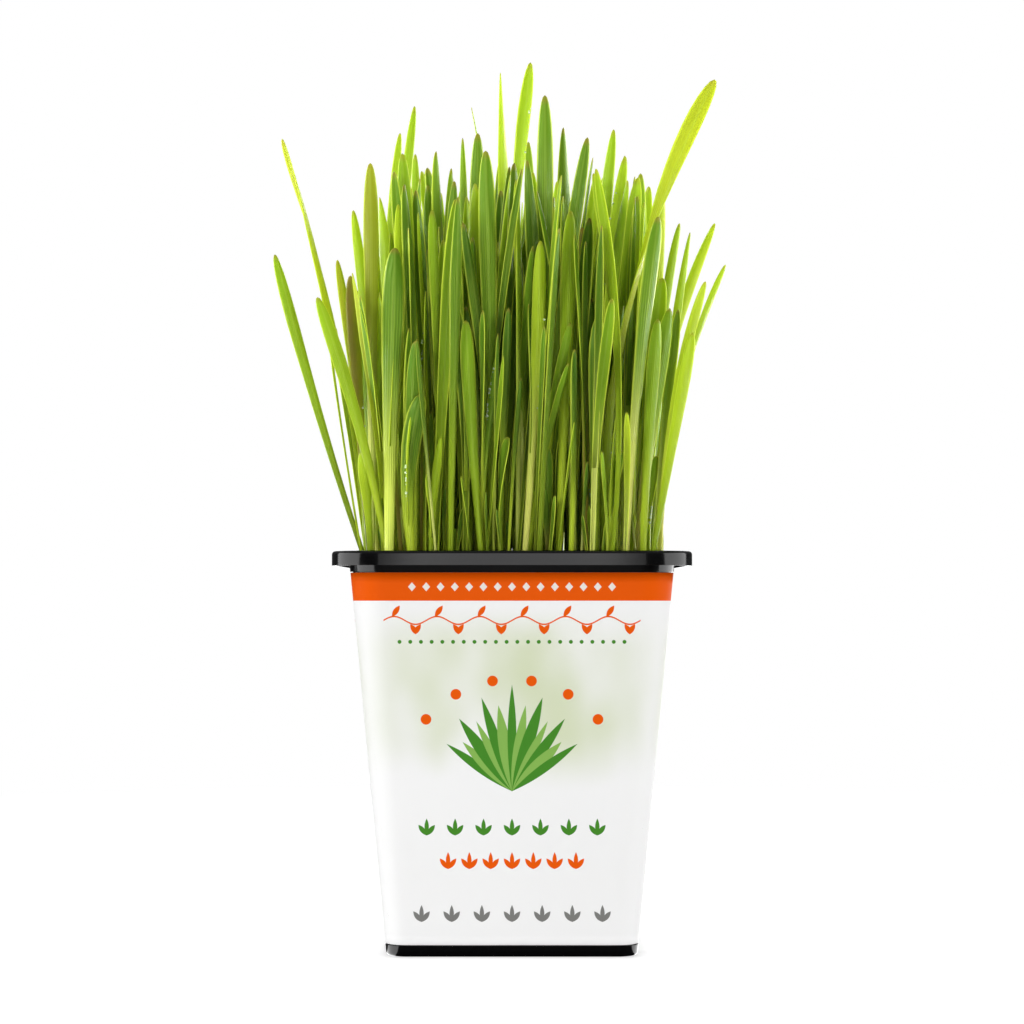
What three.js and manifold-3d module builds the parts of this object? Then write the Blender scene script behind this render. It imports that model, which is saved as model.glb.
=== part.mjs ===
// Wheatgrass growing in a square black plastic pot with a printed paper band round it.
// Millimetres, +Z up. The origin is the middle of the pot's base, on the surface it stands on.
// -Y is the front. Nothing moves: the soil rests in the pot, and the grass stands in the soil.

import * as THREE from "three";
import { mergeVertices } from "three/addons/utils/BufferGeometryUtils.js";
import Module from "manifold-3d";

const wasm = await Module();
wasm.setup();

const TOUCHING_GAP = 0.3; // what is left between two pieces that touch

// The pot: a tapered square with round corners, a turned-down rim, and a sunk panel for the band.
const POT_HEIGHT = 114.5;
const BASE_HALF = 35.75; // half the outer width at the base
const TAPER = 0.0934; // growth of that half width for each millimetre of height
const BASE_CORNER = 6;
const CORNER_GROWTH = 0.038;
const PANEL_SUNK = 0.8;
const WALL = 1.3;
const FLOOR = 1.6;
const FOOT_SUNK = 1; // the underside is this much higher inside the foot ring
const FOOT_RING = 4.8;
const PAD_HALF = 9; // the flat pad in the middle of the underside
const BASE_ROUND = 0.9;
const RIM_HALF = 51;
const RIM_CORNER = 14;
const RIM_DEPTH = 4.1;
const RIM_WALL = 1.3;
const RIM_ROUND = 1;
const DRAIN_RADIUS = 3;
const DRAIN_OFFSET = 20;
const DRAIN_SIDES = 12;
const CORNER_STEPS = 6; // flats in each round corner

// The band: one strip of coated paper, lapped and glued to itself at the back.
const PANEL_LOW = 3.1;
const PANEL_HIGH = 108.7;
const PAPER = 0.5;
const LAP_FROM = 12;
const LAP_TO = 24;
const LAP_RISE = 0.35;

// The growing layers.
const SOIL_TOP = 103.2;
const MAT_TOP = 107; // top of the mat of sprouted grain and roots
const PATCHES = 6; // the mat is laid out as 6 by 6 patches
const GRAINS_EACH = 2;
const GRAIN_SIZE = [3.3, 1.6, 1.5]; // half length, half breadth and half height of a grain
const GRAIN_INSET = 3.6;

// The grass.
const SEED = 20117;
const ROWS = 19; // seedlings are sown on a loose 19 by 19 grid
const SOWN_HALF = 42;
const SCATTER = 0.42; // how far a seedling strays, as a share of the grid pitch
const TRIES = 60;
const ROOT_DEPTH = 1.8;
const STEM_THICK = 1.2;
const BLADE_THICK = 0.7;
const BLADE_GAP = 0.16;
const NARROW_AT_ROOT = 0.45; // a blade's width where it leaves the mat, as a share of its widest
const WIDEST_AT = 0.78;
const BLUNT = 3; // how full a tip is: a round one, and a pointed one
const POINTED = 1.2;
const POINTED_SHARE = 0.16; // of the sown blades
const STATIONS = [0, 0.36, 0.78, 0.95]; // heights of a blade's sections, as a share of its own height
const SLICE = 2; // blades are kept apart at levels this far from each other

const CLUMP_HALF = 42; // sown blades end inside a clump that is this wide at CLUMP_TOP,
const CLUMP_TOP = 220; // and a sixth of a millimetre wider for each millimetre below it
const CLUMP_FLARE = 1 / 6;

// The blades that give the clump its outline:
// root x, root y, tip x, tip y, tip z, bow x, widest, turn at the root in degrees, twist to the tip,
// and how full the tip is.
const LEADING_BLADES = [
  [-41.5, -20, -66.5, -27, 234, 8, 4.2, 4, 130, BLUNT],
  [-40, -36, -66.8, -44, 198, -1.8, 3.4, 15, 10, BLUNT],
  [-34, -39, -54.5, -47, 185.5, 4, 4, 0, 5, BLUNT],
  [-42, -26, -50, -33, 198, 4, 3, 20, 10, BLUNT],
  [-39, -9, -47, -10, 216, 3.5, 3.1, -20, 20, BLUNT],
  [-40, -33, -40.5, -35, 225.5, 0.5, 4.4, -8, 10, BLUNT],
  [-35.5, 6, -34, 8, 242.5, -6.5, 3, 40, -30, BLUNT],
  [-31.5, 12, -30, 18, 252.8, -8.5, 3, 70, -80, BLUNT],
  [-27.5, -32, -31.5, -31, 229, 1, 4.5, 10, -10, BLUNT],
  [-27, -12, -28.5, -14, 232, 0, 2.9, -15, 20, BLUNT],
  [-26, 21, -26.5, 22, 234, 0, 2.7, 10, 0, BLUNT],
  [-22, -22, -24.5, -22, 221.5, 0, 3.5, 12, -20, BLUNT],
  [-21, -11, -23, -11, 224, 0, 3.2, -10, 20, BLUNT],
  [-34.5, -42, -33, -43, 200, -1, 6.5, -6, 10, BLUNT],
  [-18.5, -33, -16.5, -34, 220.5, -2.5, 3.2, 15, -15, BLUNT],
  [-13, 7, -15, 8, 241, 0, 2.8, 20, -30, POINTED],
  [-11, -20, -10, -20, 237, 0, 4.5, -5, 10, BLUNT],
  [-6, 18, -12.5, 19, 252.5, 12, 2.2, 50, 40, POINTED],
  [-5.5, -37, -7.5, -38, 228.5, 0.5, 5, 6, -8, BLUNT],
  [-3, 4, -3.5, 4, 260, 3, 4, -25, 95, POINTED],
  [2, -5, 5.5, -6, 261, -7.5, 4.7, 50, 130, BLUNT],
  [6.5, -26, 9.5, -28, 246.5, 2, 4.8, 8, -8, BLUNT],
  [13.4, -20, 15, -21, 238.5, 2, 5.4, 5, 35, POINTED],
  [7.5, -35, 21.5, -37, 232.5, -3.5, 3.9, -12, 15, BLUNT],
  [9, 12, 5, 14, 241, 0, 3.2, 20, -20, BLUNT],
  [25.5, -12, 30, -13, 239.5, -6, 3.6, 20, -40, BLUNT],
  [25.5, -31, 32.5, -32, 228, -5.5, 3.8, -10, 20, BLUNT],
  [35, -20, 37.5, -21, 225, 0, 4, -12, 10, BLUNT],
  [27, -36, 57.5, -40, 248.5, -20.5, 7.4, 42, 130, BLUNT],
  [27.5, -42, 23, -44, 221, 9.5, 3.4, 60, -50, BLUNT],
  [41, -10, 49.5, -11, 212, -6.5, 2.8, 10, 10, BLUNT],
  [42, -24, 51.5, -26, 207, -4, 2.6, 0, 25, POINTED],
  [42, 2, 61, 2, 214, -14, 3.2, 50, -70, BLUNT],
  [41.5, -31, 61, -34, 196.5, -10, 2.6, 80, -60, BLUNT],
  [42, -36, 54.5, -43, 190.5, -7, 3, -10, 20, BLUNT],
  [23.5, -39, 24.5, -41, 181, -0.5, 5.1, 0, 0, BLUNT],
  [3, -42, 8, -43, 202, 1.5, 3.8, -15, 15, BLUNT],
  [3.5, -39, 16.5, -42, 179, -1.5, 3, 5, -10, BLUNT],
  [-8, -42, -13, -44, 179.5, -1, 4, 0, 8, BLUNT],
  [-27, -42, -25.5, -45, 158.5, -6, 5.7, 10, 0, BLUNT],
  [-23, -42, -20, -43, 146.5, -1.5, 2.6, -20, 10, POINTED],
  [38.5, -39.3, 50.8, -44, 176, 0, 3.5, -10, 5, BLUNT],
  [38, -17, 44, -18, 222, 0, 3.6, 10, 10, BLUNT],
];

// Looks: colour, roughness.
const BLACK_PLASTIC = [0x101112, 0.32];
const PRINTED_PAPER = [0xeef0ec, 0.45];
const POTTING_SOIL = [0x35261b, 0.95];
const GRASS_GREEN = [0x6f9f2a, 0.5];

function material([color, roughness]) {
  return new THREE.MeshStandardMaterial({ color, roughness, metalness: 0 });
}

// ---- Shapes ----

function solidOf(geometry) {
  const bare = new THREE.BufferGeometry()
    .setAttribute("position", geometry.getAttribute("position"))
    .setIndex(geometry.index);
  const merged = mergeVertices(bare, 1e-4);
  return new wasm.Manifold(
    new wasm.Mesh({
      numProp: 3,
      vertProperties: new Float32Array(merged.attributes.position.array),
      triVerts: new Uint32Array(merged.index.array),
    }),
  );
}

function meshOf(name, solid, look) {
  const { vertProperties, triVerts } = solid.getMesh();
  const geometry = new THREE.BufferGeometry()
    .setAttribute("position", new THREE.BufferAttribute(vertProperties, 3))
    .setIndex(new THREE.BufferAttribute(triVerts, 1));
  geometry.computeVertexNormals();
  const mesh = new THREE.Mesh(geometry, material(look));
  mesh.name = name;
  return mesh;
}

// One level of a square with round corners: half its width, its corner radius and its height.
function level(half, corner, z) {
  return { half, corner: Math.max(corner, 0.3), z };
}

function pointsOf({ half, corner, z }) {
  const points = [];
  for (let side = 0; side < 4; side++) {
    const middle = new THREE.Vector2(half - corner, half - corner).rotateAround(
      new THREE.Vector2(),
      (side * Math.PI) / 2,
    );
    for (let step = 0; step <= CORNER_STEPS; step++) {
      const angle = ((side + step / CORNER_STEPS) * Math.PI) / 2;
      points.push([
        middle.x + corner * Math.cos(angle),
        middle.y + corner * Math.sin(angle),
        z,
      ]);
    }
  }
  return points;
}

// The body between a run of levels. It is capped at both ends, or joined round into a closed tube.
function loft(levels, joined = false) {
  const rings = levels.map(pointsOf);
  const around = rings[0].length;
  const index = [];
  const last = rings.length - (joined ? 0 : 1);
  for (let i = 0; i < last; i++) {
    const low = i * around;
    const high = ((i + 1) % rings.length) * around;
    for (let j = 0; j < around; j++) {
      const next = (j + 1) % around;
      index.push(low + j, low + next, high + next);
      index.push(low + j, high + next, high + j);
    }
  }
  const positions = rings.flat(2);
  if (!joined) {
    const first = positions.length / 3;
    const top = last * around;
    positions.push(0, 0, levels[0].z, 0, 0, levels.at(-1).z);
    for (let j = 0; j < around; j++) {
      const next = (j + 1) % around;
      index.push(first, next, j, first + 1, top + j, top + next);
    }
  }
  const geometry = new THREE.BufferGeometry().setIndex(index);
  geometry.setAttribute("position", new THREE.Float32BufferAttribute(positions, 3));
  return solidOf(geometry);
}

// ---- Pot, band and soil ----

// A level of the pot's outer face, moved inwards by inset.
function potLevel(z, inset = 0) {
  return level(
    BASE_HALF + TAPER * z - inset,
    BASE_CORNER + CORNER_GROWTH * z - inset,
    z,
  );
}

function innerWall(z, clear = 0) {
  return potLevel(z, PANEL_SUNK + WALL + clear);
}

function rimLevel(inset, z) {
  return level(RIM_HALF - inset, RIM_CORNER - inset, z);
}

function pot() {
  const ringInner = BASE_HALF - FOOT_RING;
  const rimUnder = POT_HEIGHT - RIM_WALL;
  const rimLow = POT_HEIGHT - RIM_DEPTH;
  const bowed = 0.3; // how far in and down the middle of a rounded edge lies, as a share of its radius
  const body = loft([
    level(PAD_HALF, 4, 0),
    level(PAD_HALF + FOOT_SUNK / 2, 4, FOOT_SUNK),
    level(ringInner - FOOT_SUNK / 2, 3, FOOT_SUNK),
    level(ringInner, 3, 0),
    potLevel(0, BASE_ROUND),
    potLevel(BASE_ROUND * bowed, BASE_ROUND * bowed),
    potLevel(BASE_ROUND),
    potLevel(PANEL_LOW),
    potLevel(PANEL_LOW, PANEL_SUNK),
    potLevel(PANEL_HIGH, PANEL_SUNK),
    potLevel(PANEL_HIGH),
    potLevel(rimUnder),
    rimLevel(RIM_WALL, rimUnder),
    rimLevel(RIM_WALL, rimLow),
    rimLevel(0, rimLow),
    rimLevel(0, POT_HEIGHT - RIM_ROUND),
    rimLevel(RIM_ROUND * bowed, POT_HEIGHT - RIM_ROUND * bowed),
    rimLevel(RIM_ROUND, POT_HEIGHT),
    innerWall(POT_HEIGHT, -RIM_ROUND),
    innerWall(POT_HEIGHT - RIM_ROUND),
    innerWall(FOOT_SUNK + FLOOR),
  ]);
  const drain = new THREE.CylinderGeometry(
    DRAIN_RADIUS,
    DRAIN_RADIUS,
    4 * FLOOR,
    DRAIN_SIDES,
  ).rotateX(Math.PI / 2);
  const corners = [-1, 1].flatMap((x) => [-1, 1].map((y) => [x, y]));
  return corners.reduce(
    (solid, [x, y]) =>
      solid.subtract(
        solidOf(drain.clone().translate(x * DRAIN_OFFSET, y * DRAIN_OFFSET, FLOOR)),
      ),
    body,
  );
}

function paperBand() {
  const low = PANEL_LOW + TOUCHING_GAP;
  const high = PANEL_HIGH - TOUCHING_GAP;
  const strip = loft(
    [potLevel(low), potLevel(high), potLevel(high, PAPER), potLevel(low, PAPER)],
    true,
  );
  // The lapped end: a slab that leans with the back face and stands a little proud of it.
  const lap = new THREE.BoxGeometry(LAP_TO - LAP_FROM, PAPER, high - low);
  lap.translate((LAP_FROM + LAP_TO) / 2, LAP_RISE - PAPER / 2, (low + high) / 2);
  const place = lap.getAttribute("position");
  for (let i = 0; i < place.count; i++)
    place.setY(i, place.getY(i) + BASE_HALF + TAPER * place.getZ(i));
  return strip.add(solidOf(lap));
}

function soil() {
  const bottom = FOOT_SUNK + FLOOR + TOUCHING_GAP;
  return loft([innerWall(bottom, TOUCHING_GAP), innerWall(SOIL_TOP, TOUCHING_GAP)]);
}

// ---- Grass ----

// An even random number from 0 to 1 for a run of whole numbers, the same each time.
function draw(...keys) {
  let mixed = SEED;
  for (const key of keys) {
    mixed = Math.imul(mixed ^ key, 0x9e3779b1);
    mixed ^= mixed >>> 15;
    mixed = Math.imul(mixed, 0x85ebca6b);
    mixed ^= mixed >>> 13;
  }
  return (mixed >>> 0) / 2 ** 32;
}

function leadingBlade([x, y, tipX, tipY, tipZ, bow, width, turn, twist, full]) {
  return { root: [x, y], tip: [tipX, tipY, tipZ], bow: [bow, 0], width, full, turn, twist };
}

// The way that seedling number i grows on a given try. Later tries are narrower and straighter.
function sownBlade(i, attempt) {
  const pitch = (2 * SOWN_HALF) / ROWS;
  const random = (n) => draw(i, attempt, n);
  const spread = (n) => random(n) + random(n + 1) - 1;
  const x = ((i % ROWS) + 0.5 + SCATTER * spread(0)) * pitch - SOWN_HALF;
  const y = (Math.floor(i / ROWS) + 0.5 + SCATTER * spread(2)) * pitch - SOWN_HALF;
  const edge = Math.max(Math.abs(x), Math.abs(y)) / SOWN_HALF;
  const tallest = 120 - 24 * edge ** 4;
  const short = random(4) < 0.2;
  const share = short ? 0.25 + 0.45 * random(5) : 1 - 0.42 * random(5) ** 1.3;
  const height = tallest * share;
  const calm = 1 - (0.6 * attempt) / TRIES;
  const leanX = height * (0.0019 * x + 0.14 * calm * spread(6));
  const leanY = height * (0.0019 * y + 0.14 * calm * spread(8));
  return {
    root: [x, y],
    tip: [x + leanX, y + leanY, POT_HEIGHT + height],
    bow: [-0.25 * leanX + 3 * calm * spread(10), -0.25 * leanY + 3 * calm * spread(12)],
    width: (short ? 2.6 : 3.2) + 1.9 * calm * random(14),
    full: random(18) < POINTED_SHARE ? POINTED : BLUNT,
    turn: 180 * random(15),
    twist: 100 * spread(16),
  };
}

// The width of a blade at a share of its height: narrow at the root, round or pointed at the tip.
function widthAt(blade, share) {
  if (share < WIDEST_AT) {
    const grown = (share / WIDEST_AT) ** 1.3;
    return blade.width * (NARROW_AT_ROOT + (1 - NARROW_AT_ROOT) * grown);
  }
  const past = (share - WIDEST_AT) / (1 - WIDEST_AT);
  return blade.width * Math.sqrt(Math.max(0, 1 - past ** blade.full));
}

function thicknessAt(share) {
  return Math.max(BLADE_THICK, STEM_THICK - (share * (STEM_THICK - BLADE_THICK)) / 0.3);
}

// A flat section of a blade: its middle, and its two half axes.
function sectionAt(blade, share) {
  const { root, tip, bow, turn, twist } = blade;
  const middle = [0, 1].map(
    (k) => root[k] + (tip[k] - root[k]) * share + 2 * share * (1 - share) * bow[k],
  );
  const angle = THREE.MathUtils.degToRad(turn + twist * share * share);
  const across = widthAt(blade, share) / 2;
  const through = thicknessAt(share) / 2;
  return {
    middle,
    z: MAT_TOP + (tip[2] - MAT_TOP) * share,
    wide: [across * Math.cos(angle), across * Math.sin(angle)],
    deep: [-through * Math.sin(angle), through * Math.cos(angle)],
  };
}

// A blade as sections with four corners each, drawn to a point at the tip and, inside the mat,
// at the root. Both faces are split alike.
function bladeSolid(blade) {
  const positions = STATIONS.flatMap((share) => {
    const { middle, z, wide, deep } = sectionAt(blade, share);
    const corner = (w, d) => [
      middle[0] + w * wide[0] + d * deep[0],
      middle[1] + w * wide[1] + d * deep[1],
      z,
    ];
    return [corner(1, 0), corner(0, 1), corner(-1, 0), corner(0, -1)].flat();
  });
  positions.push(...blade.tip, ...blade.root, MAT_TOP - ROOT_DEPTH);
  const index = [];
  for (let k = 0; k < STATIONS.length - 1; k++) {
    const [right, back, left, front] = [0, 1, 2, 3].map((n) => 4 * k + n);
    const up = 4;
    index.push(right, back, back + up, right, back + up, right + up);
    index.push(back, left, back + up, left, left + up, back + up);
    index.push(left, front, front + up, left, front + up, left + up);
    index.push(front, right, front + up, right, right + up, front + up);
  }
  const top = 4 * (STATIONS.length - 1);
  for (let n = 0; n < 4; n++) {
    const next = (n + 1) % 4;
    index.push(top + n, top + next, top + 4, next, n, top + 5);
  }
  const geometry = new THREE.BufferGeometry().setIndex(index);
  geometry.setAttribute("position", new THREE.Float32BufferAttribute(positions, 3));
  return solidOf(geometry);
}

// A blade's two edges and its thickness at every level that it crosses, as its solid has them.
function slicesOf(blade) {
  const sections = [...STATIONS, 1].map((share) => ({
    ...sectionAt(blade, share),
    thick: thicknessAt(share),
  }));
  const slices = new Map();
  for (let n = Math.ceil(MAT_TOP / SLICE); n * SLICE < blade.tip[2]; n++) {
    const k = sections.findLastIndex((s) => s.z <= n * SLICE);
    const [a, b] = [sections[k], sections[k + 1]];
    const part = (n * SLICE - a.z) / (b.z - a.z);
    const mix = (p, q) => p + (q - p) * part;
    const x = mix(a.middle[0], b.middle[0]);
    const y = mix(a.middle[1], b.middle[1]);
    const wx = mix(a.wide[0], b.wide[0]);
    const wy = mix(a.wide[1], b.wide[1]);
    slices.set(n, { x, y, wx, wy, reach: Math.hypot(wx, wy), thick: mix(a.thick, b.thick) });
  }
  return slices;
}

function pointToSegment(px, py, s) {
  const along = ((px - s.x) * s.wx + (py - s.y) * s.wy) / (s.reach * s.reach || 1);
  const held = Math.min(1, Math.max(-1, along));
  return Math.hypot(px - s.x - held * s.wx, py - s.y - held * s.wy);
}

// The distance between two sections taken as straight lines, 0 where they cross.
function between(a, b) {
  const cross = a.wx * b.wy - a.wy * b.wx;
  const dx = b.x - a.x;
  const dy = b.y - a.y;
  if (Math.abs(cross) > 1e-9) {
    const onA = (dx * b.wy - dy * b.wx) / cross;
    const onB = (dx * a.wy - dy * a.wx) / cross;
    if (Math.abs(onA) <= 1 && Math.abs(onB) <= 1) return 0;
  }
  return Math.min(
    pointToSegment(a.x + a.wx, a.y + a.wy, b),
    pointToSegment(a.x - a.wx, a.y - a.wy, b),
    pointToSegment(b.x + b.wx, b.y + b.wy, a),
    pointToSegment(b.x - b.wx, b.y - b.wy, a),
  );
}

function clearOf(slices, others) {
  for (const other of others)
    for (const [n, a] of slices) {
      const b = other.get(n);
      if (!b) break;
      const needed = (a.thick + b.thick) / 2 + BLADE_GAP;
      if (Math.hypot(a.x - b.x, a.y - b.y) > a.reach + b.reach + needed) continue;
      if (between(a, b) < needed) return false;
    }
  return true;
}

// How far a point is inside one level of a round-cornered square.
function depthInside(x, y, { half, corner }) {
  const px = Math.abs(x) - (half - corner);
  const py = Math.abs(y) - (half - corner);
  const outside = Math.hypot(Math.max(px, 0), Math.max(py, 0));
  return corner - outside - Math.min(Math.max(px, py), 0);
}

function insidePot(slices) {
  for (const [n, s] of slices) {
    if (n * SLICE > POT_HEIGHT + SLICE) break;
    const wall = innerWall(Math.min(n * SLICE, POT_HEIGHT));
    for (const side of [-1, 1])
      if (depthInside(s.x + side * s.wx, s.y + side * s.wy, wall) < 0.5) return false;
  }
  return true;
}

// The patch of mat that a root stands in, if the root is well inside it.
function patchOf([x, y]) {
  const size = (2 * innerWall(MAT_TOP).half) / PATCHES;
  const column = x / size + PATCHES / 2;
  const row = y / size + PATCHES / 2;
  const near = (value) => Math.abs(value - Math.round(value)) * size < 1.1;
  if (near(column) || near(row)) return null;
  return { column: Math.floor(column), row: Math.floor(row) };
}

function insideClump({ tip: [x, , z] }) {
  return Math.abs(x) < CLUMP_HALF + (CLUMP_TOP - z) * CLUMP_FLARE;
}

function growGrass() {
  const grown = [];
  const add = (blade, must) => {
    const slices = slicesOf(blade);
    const fits = patchOf(blade.root) && insidePot(slices);
    if (fits && clearOf(slices, grown.map((g) => g.slices)))
      return grown.push({ blade, slices, patch: patchOf(blade.root) });
    if (must) throw new Error("no room for the blade at " + blade.root);
    return 0;
  };
  for (const sizes of LEADING_BLADES) add(leadingBlade(sizes), true);
  for (let i = 0; i < ROWS * ROWS; i++)
    for (let attempt = 0; attempt < TRIES; attempt++) {
      const blade = sownBlade(i, attempt);
      if (insideClump(blade) && add(blade, false)) break;
    }
  return grown;
}

function grain(x, y, heading) {
  return solidOf(
    new THREE.OctahedronGeometry(1)
      .scale(...GRAIN_SIZE)
      .rotateZ(heading)
      .translate(x, y, MAT_TOP - 0.15),
  );
}

// A patch of the mat with its grains and its blades, all in one body.
function patchSolid(mat, column, row, blades) {
  const size = (2 * innerWall(MAT_TOP).half) / PATCHES;
  const cut = size - TOUCHING_GAP;
  const x = (column + 0.5 - PATCHES / 2) * size;
  const y = (row + 0.5 - PATCHES / 2) * size;
  const cell = new THREE.BoxGeometry(cut, cut, 4 * (MAT_TOP - SOIL_TOP)).translate(x, y, MAT_TOP);
  const pieces = [mat.intersect(solidOf(cell))];
  for (let n = 0; n < GRAINS_EACH; n++) {
    const stray = (size / 2 - GRAIN_INSET) * 2;
    const random = (k) => draw(1000 + PATCHES * row + column, n, k);
    const gx = x + stray * (random(0) - 0.5);
    const gy = y + stray * (random(1) - 0.5);
    if (depthInside(gx, gy, innerWall(MAT_TOP)) > GRAIN_SIZE[0] + TOUCHING_GAP)
      pieces.push(grain(gx, gy, Math.PI * random(2)));
  }
  return wasm.Manifold.union([...pieces, ...blades.map(bladeSolid)]);
}

function grassPatches() {
  const grown = growGrass();
  const bottom = SOIL_TOP + TOUCHING_GAP;
  const mat = loft([innerWall(bottom, TOUCHING_GAP), innerWall(MAT_TOP, TOUCHING_GAP)]);
  const patches = [];
  for (let row = 0; row < PATCHES; row++)
    for (let column = 0; column < PATCHES; column++) {
      const own = grown.filter((g) => g.patch.column === column && g.patch.row === row);
      const solid = patchSolid(mat, column, row, own.map((g) => g.blade));
      patches.push(meshOf(`grass_patch_${row + 1}${column + 1}`, solid, GRASS_GREEN));
    }
  return patches;
}

const object = new THREE.Group();
object.add(meshOf("pot", pot(), BLACK_PLASTIC));
object.add(meshOf("paper_band", paperBand(), PRINTED_PAPER));
object.add(meshOf("soil", soil(), POTTING_SOIL));
object.add(...grassPatches());

export default object;
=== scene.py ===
# Wheatgrass growing in a square black plastic pot with a printed paper band round it.
# Shapes are worked out in millimetres and made metres as each piece is finished.
# +Z is up, -Y is the front of the pot, and the pot stands on the floor at the origin.

import math
from functools import partial

import bmesh
import bpy
import numpy as np
from mathutils import Matrix, Vector, noise


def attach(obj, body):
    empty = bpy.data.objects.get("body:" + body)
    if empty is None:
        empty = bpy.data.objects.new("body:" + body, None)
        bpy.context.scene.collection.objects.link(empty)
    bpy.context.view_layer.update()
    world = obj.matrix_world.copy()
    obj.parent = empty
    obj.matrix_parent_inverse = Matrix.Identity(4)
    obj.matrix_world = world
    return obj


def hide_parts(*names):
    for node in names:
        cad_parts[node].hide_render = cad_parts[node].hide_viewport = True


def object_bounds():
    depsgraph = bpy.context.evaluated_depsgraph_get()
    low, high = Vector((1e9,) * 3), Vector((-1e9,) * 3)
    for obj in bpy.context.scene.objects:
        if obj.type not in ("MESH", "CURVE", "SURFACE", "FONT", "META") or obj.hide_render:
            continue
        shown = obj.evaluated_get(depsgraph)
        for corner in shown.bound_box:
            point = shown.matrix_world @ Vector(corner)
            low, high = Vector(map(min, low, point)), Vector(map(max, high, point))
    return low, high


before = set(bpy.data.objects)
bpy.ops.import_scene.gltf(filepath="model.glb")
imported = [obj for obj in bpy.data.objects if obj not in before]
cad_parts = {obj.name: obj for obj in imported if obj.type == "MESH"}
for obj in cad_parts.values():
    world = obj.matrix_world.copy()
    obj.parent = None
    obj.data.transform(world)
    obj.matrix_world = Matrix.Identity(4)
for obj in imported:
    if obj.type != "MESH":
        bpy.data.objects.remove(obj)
cad_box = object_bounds()

# ---- Camera ----
# It looks at the pot from the front, from a little below the height of the rim and tipped up
# slightly, through a long lens that keeps the pot's sides nearly straight.

MM = 0.001  # in metres
LENS = 85
SENSOR = 36
CAMERA_DISTANCE = 722  # from the pot's centre line
CAMERA_HEIGHT = 101
CAMERA_TIPPED_UP = 2.06  # degrees

lens = bpy.data.cameras.new("camera")
lens.lens = LENS
lens.sensor_width = SENSOR
camera = bpy.data.objects.new("camera", lens)
camera.location = Vector((0, -CAMERA_DISTANCE, CAMERA_HEIGHT)) * MM
camera.rotation_euler = (math.radians(90 + CAMERA_TIPPED_UP), 0, 0)
bpy.context.scene.collection.objects.link(camera)
bpy.context.scene.camera = camera
bpy.context.scene.view_settings.view_transform = "Standard"

# ---- Pot ----
# Black polypropylene, injection moulded in one piece: a tapered square with round corners, a foot
# ring, a sunk panel for the paper band and a turned-down rim. Four drain holes go through its floor.

POT_HEIGHT = 114.5
BASE_HALF = 35.75
TAPER = 0.0934
BASE_CORNER = 6
CORNER_GROWTH = 0.038
PANEL_LOW = 3.1
PANEL_HIGH = 108.7
PANEL_SUNK = 0.8
WALL = 1.3
POT_FLOOR = 1.6
FOOT_SUNK = 1
FOOT_RING = 4.8
RING_CORNER = 3  # inside the foot ring
PAD_HALF = 9
PAD_CORNER = 4
BASE_ROUND = 0.9
RIM_HALF = 51
RIM_CORNER = 14
RIM_DEPTH = 4.1
RIM_WALL = 1.3
RIM_ROUND = 1
DRAIN_RADIUS = 3
DRAIN_OFFSET = 20
DRAIN_SIDES = 32
CORNER_STEPS = 14
ARC_STEPS = 5
MOULD_ROUND = 0.22
MOULD_ROUND_FROM = 35  # degrees that an edge turns by


class Wire:
    """An output of a shader node. Arithmetic on wires adds Math nodes."""

    def __init__(self, finish, socket):
        self.finish = finish
        self.socket = socket

    def maths(self, operation, *values):
        sockets = dict(enumerate(values or (self,)))
        return self.finish.node("ShaderNodeMath", {"operation": operation}, sockets)

    def __add__(self, other):
        return self.maths("ADD", self, other)

    def __radd__(self, other):
        return self.maths("ADD", other, self)

    def __sub__(self, other):
        return self.maths("SUBTRACT", self, other)

    def __rsub__(self, other):
        return self.maths("SUBTRACT", other, self)

    def __mul__(self, other):
        return self.maths("MULTIPLY", self, other)

    def __rmul__(self, other):
        return self.maths("MULTIPLY", other, self)

    def __pow__(self, other):
        return self.maths("POWER", self, other)

    def __mod__(self, other):
        return self.maths("FLOORED_MODULO", self, other)

    def __abs__(self):
        return self.maths("ABSOLUTE")

    def either(self, other):
        return self.maths("MAXIMUM", self, other)

    def smooth(self, low, high):
        """0 at low and beyond, 1 at high and beyond, with an eased slope between."""
        settings = {"interpolation_type": "SMOOTHSTEP"}
        return self.finish.node("ShaderNodeMapRange", settings, {0: self, 1: low, 2: high})


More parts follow.
